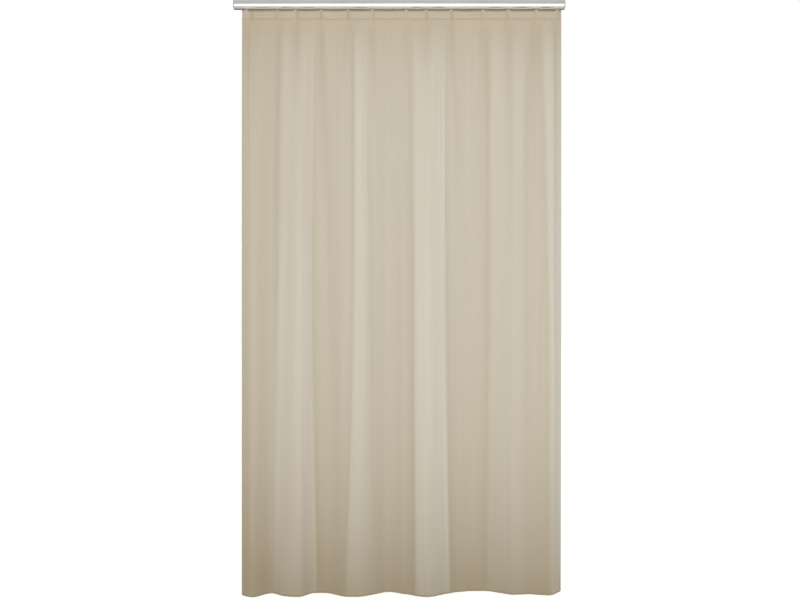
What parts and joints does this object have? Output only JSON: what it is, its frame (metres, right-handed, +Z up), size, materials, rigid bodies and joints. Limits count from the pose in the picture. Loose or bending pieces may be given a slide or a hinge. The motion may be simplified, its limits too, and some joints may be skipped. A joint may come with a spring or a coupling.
{
  "type": "sheer curtain",
  "caption": "Sheer fabric curtain in soft vertical folds, hung by hooks and gliders from a round-sided aluminium ceiling track, held at one end and drawn along from the other.",
  "frame": {"origin": "centre of the track's flat top, where it meets the ceiling", "axes": "+X along the track to the right as seen from the room, +Y towards the window, +Z up to the ceiling"},
  "size_m": [1, 0.0873, 1.792],
  "materials": {
    "rail": "fine brushed, clear anodised",
    "cap": "moulded, silver grey",
    "fitting": "moulded, milky white",
    "sheer_cloth": "fine plain-weave voile, see-through",
    "tape": "woven gathering tape",
    "hem": "cloth folded over a weighted cord"
  },
  "bodies": {
    "track_and_curtain": {"track": "rail", "end_cap_left": "cap", "end_cap_right": "cap", "end_stop": "fitting", "hook_01": "fitting", "curtain_panel": "sheer_cloth", "heading_tape": "tape", "weight_band": "hem"},
    "carrier_13": {"glider_13": "fitting", "hook_13": "fitting"},
    "carrier_12": {"glider_12": "fitting", "hook_12": "fitting"},
    "carrier_11": {"glider_11": "fitting", "hook_11": "fitting"},
    "carrier_10": {"glider_10": "fitting", "hook_10": "fitting"},
    "carrier_09": {"glider_09": "fitting", "hook_09": "fitting"},
    "carrier_08": {"glider_08": "fitting", "hook_08": "fitting"},
    "carrier_07": {"glider_07": "fitting", "hook_07": "fitting"},
    "carrier_06": {"glider_06": "fitting", "hook_06": "fitting"},
    "carrier_05": {"glider_05": "fitting", "hook_05": "fitting"},
    "carrier_04": {"glider_04": "fitting", "hook_04": "fitting"},
    "carrier_03": {"glider_03": "fitting", "hook_03": "fitting"},
    "carrier_02": {"glider_02": "fitting", "hook_02": "fitting"}
  },
  "joints": [
    {"name": "carrier_13_slide", "type": "slide", "parent": "track_and_curtain", "child": "carrier_13", "axis": [1, 0, 0], "range_m": [-0.731, 0], "deforming": ["curtain_panel", "heading_tape", "weight_band"]},
    {"name": "carrier_12_slide", "type": "slide", "parent": "track_and_curtain", "child": "carrier_12", "axis": [1, 0, 0], "range_m": [-0.6817, 0]},
    {"name": "carrier_11_slide", "type": "slide", "parent": "track_and_curtain", "child": "carrier_11", "axis": [1, 0, 0], "range_m": [-0.6157, 0]},
    {"name": "carrier_10_slide", "type": "slide", "parent": "track_and_curtain", "child": "carrier_10", "axis": [1, 0, 0], "range_m": [-0.5565, 0]},
    {"name": "carrier_09_slide", "type": "slide", "parent": "track_and_curtain", "child": "carrier_09", "axis": [1, 0, 0], "range_m": [-0.4815, 0]},
    {"name": "carrier_08_slide", "type": "slide", "parent": "track_and_curtain", "child": "carrier_08", "axis": [1, 0, 0], "range_m": [-0.423, 0]},
    {"name": "carrier_07_slide", "type": "slide", "parent": "track_and_curtain", "child": "carrier_07", "axis": [1, 0, 0], "range_m": [-0.3758, 0]},
    {"name": "carrier_06_slide", "type": "slide", "parent": "track_and_curtain", "child": "carrier_06", "axis": [1, 0, 0], "range_m": [-0.2963, 0]},
    {"name": "carrier_05_slide", "type": "slide", "parent": "track_and_curtain", "child": "carrier_05", "axis": [1, 0, 0], "range_m": [-0.2393, 0]},
    {"name": "carrier_04_slide", "type": "slide", "parent": "track_and_curtain", "child": "carrier_04", "axis": [1, 0, 0], "range_m": [-0.1763, 0]},
    {"name": "carrier_03_slide", "type": "slide", "parent": "track_and_curtain", "child": "carrier_03", "axis": [1, 0, 0], "range_m": [-0.1149, 0]},
    {"name": "carrier_02_slide", "type": "slide", "parent": "track_and_curtain", "child": "carrier_02", "axis": [1, 0, 0], "range_m": [-0.0729, 0]}
  ],
  "couplings": [
    {"joint": "carrier_12_slide", "follows": "carrier_13_slide", "ratio": 0.93231},
    {"joint": "carrier_11_slide", "follows": "carrier_13_slide", "ratio": 0.84205},
    {"joint": "carrier_10_slide", "follows": "carrier_13_slide", "ratio": 0.76103},
    {"joint": "carrier_09_slide", "follows": "carrier_13_slide", "ratio": 0.65846},
    {"joint": "carrier_08_slide", "follows": "carrier_13_slide", "ratio": 0.57846},
    {"joint": "carrier_07_slide", "follows": "carrier_13_slide", "ratio": 0.51385},
    {"joint": "carrier_06_slide", "follows": "carrier_13_slide", "ratio": 0.40513},
    {"joint": "carrier_05_slide", "follows": "carrier_13_slide", "ratio": 0.32718},
    {"joint": "carrier_04_slide", "follows": "carrier_13_slide", "ratio": 0.24103},
    {"joint": "carrier_03_slide", "follows": "carrier_13_slide", "ratio": 0.15692},
    {"joint": "carrier_02_slide", "follows": "carrier_13_slide", "ratio": 0.09949}
  ]
}
